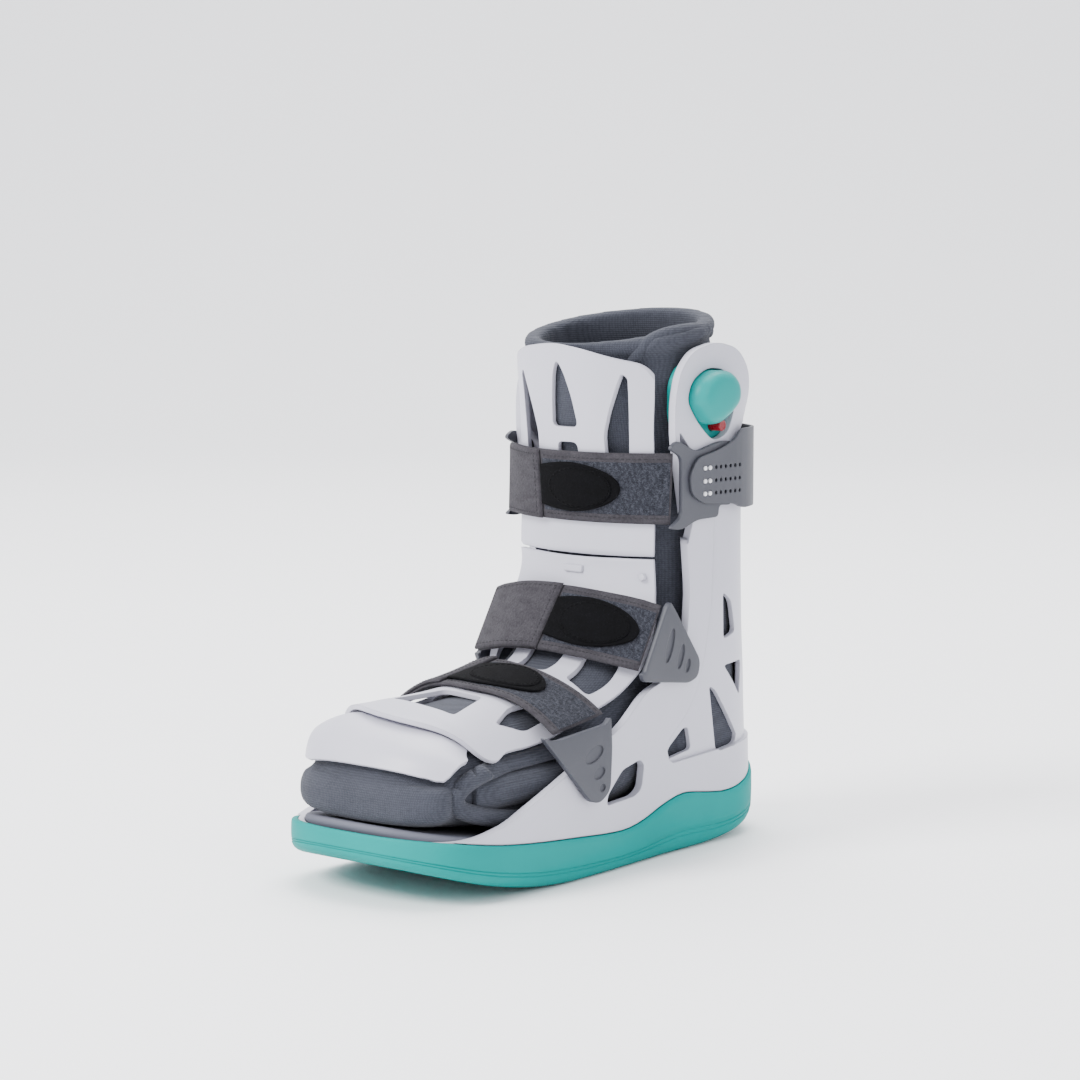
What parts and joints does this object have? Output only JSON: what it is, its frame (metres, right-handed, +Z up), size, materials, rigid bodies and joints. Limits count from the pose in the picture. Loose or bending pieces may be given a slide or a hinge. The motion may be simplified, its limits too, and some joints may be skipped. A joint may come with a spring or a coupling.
{
  "type": "medical walking boot",
  "caption": "Short pneumatic walking boot: rocker sole, plastic shell with hard front panels, padded liner, hook-and-loop straps and a hand pump in one upright.",
  "frame": {"origin": "on the floor under the middle of the sole", "axes": "+Z up, -Y towards the toe, +Y towards the heel, +X towards the side with the pump"},
  "size_m": [0.1268, 0.29, 0.2766],
  "materials": {
    "sole_rubber": "satin",
    "shell_plastic": "satin",
    "footbed_foam": "matte",
    "liner_knit": "matte",
    "strap_webbing": "matte",
    "tab_fabric": "matte",
    "fitting_plastic": "satin",
    "pin_plastic": "gloss",
    "pump_rubber": "satin",
    "button_plastic": "gloss",
    "label_cloth": "matte"
  },
  "bodies": {
    "boot": {"outsole": "sole_rubber", "shell": "shell_plastic", "insole": "footbed_foam", "liner": "liner_knit", "shin_panel": "shell_plastic", "instep_panel": "shell_plastic", "toe_cap": "shell_plastic", "calf_strap": "strap_webbing", "calf_tab": "tab_fabric", "ankle_strap": "strap_webbing", "ankle_tab": "tab_fabric", "forefoot_strap": "strap_webbing", "forefoot_tab": "tab_fabric", "ankle_anchor_near": "fitting_plastic", "forefoot_anchor_near": "fitting_plastic", "calf_fitting_near": "fitting_plastic", "ankle_anchor_far": "fitting_plastic", "forefoot_anchor_far": "fitting_plastic", "calf_fitting_far": "fitting_plastic", "calf_band": "fitting_plastic", "band_pin_1": "pin_plastic", "band_pin_2": "pin_plastic", "band_pin_3": "pin_plastic", "band_pin_4": "pin_plastic", "band_pin_5": "pin_plastic", "band_pin_6": "pin_plastic", "pump_bulb": "pump_rubber", "inner_label": "label_cloth"},
    "release_button": {"release_button": "button_plastic"}
  },
  "joints": [
    {"name": "button_press", "type": "slide", "parent": "boot", "child": "release_button", "axis": [-1, 0, 0], "range_m": [0, 0.0015], "stiffness_N_per_m": 500}
  ]
}
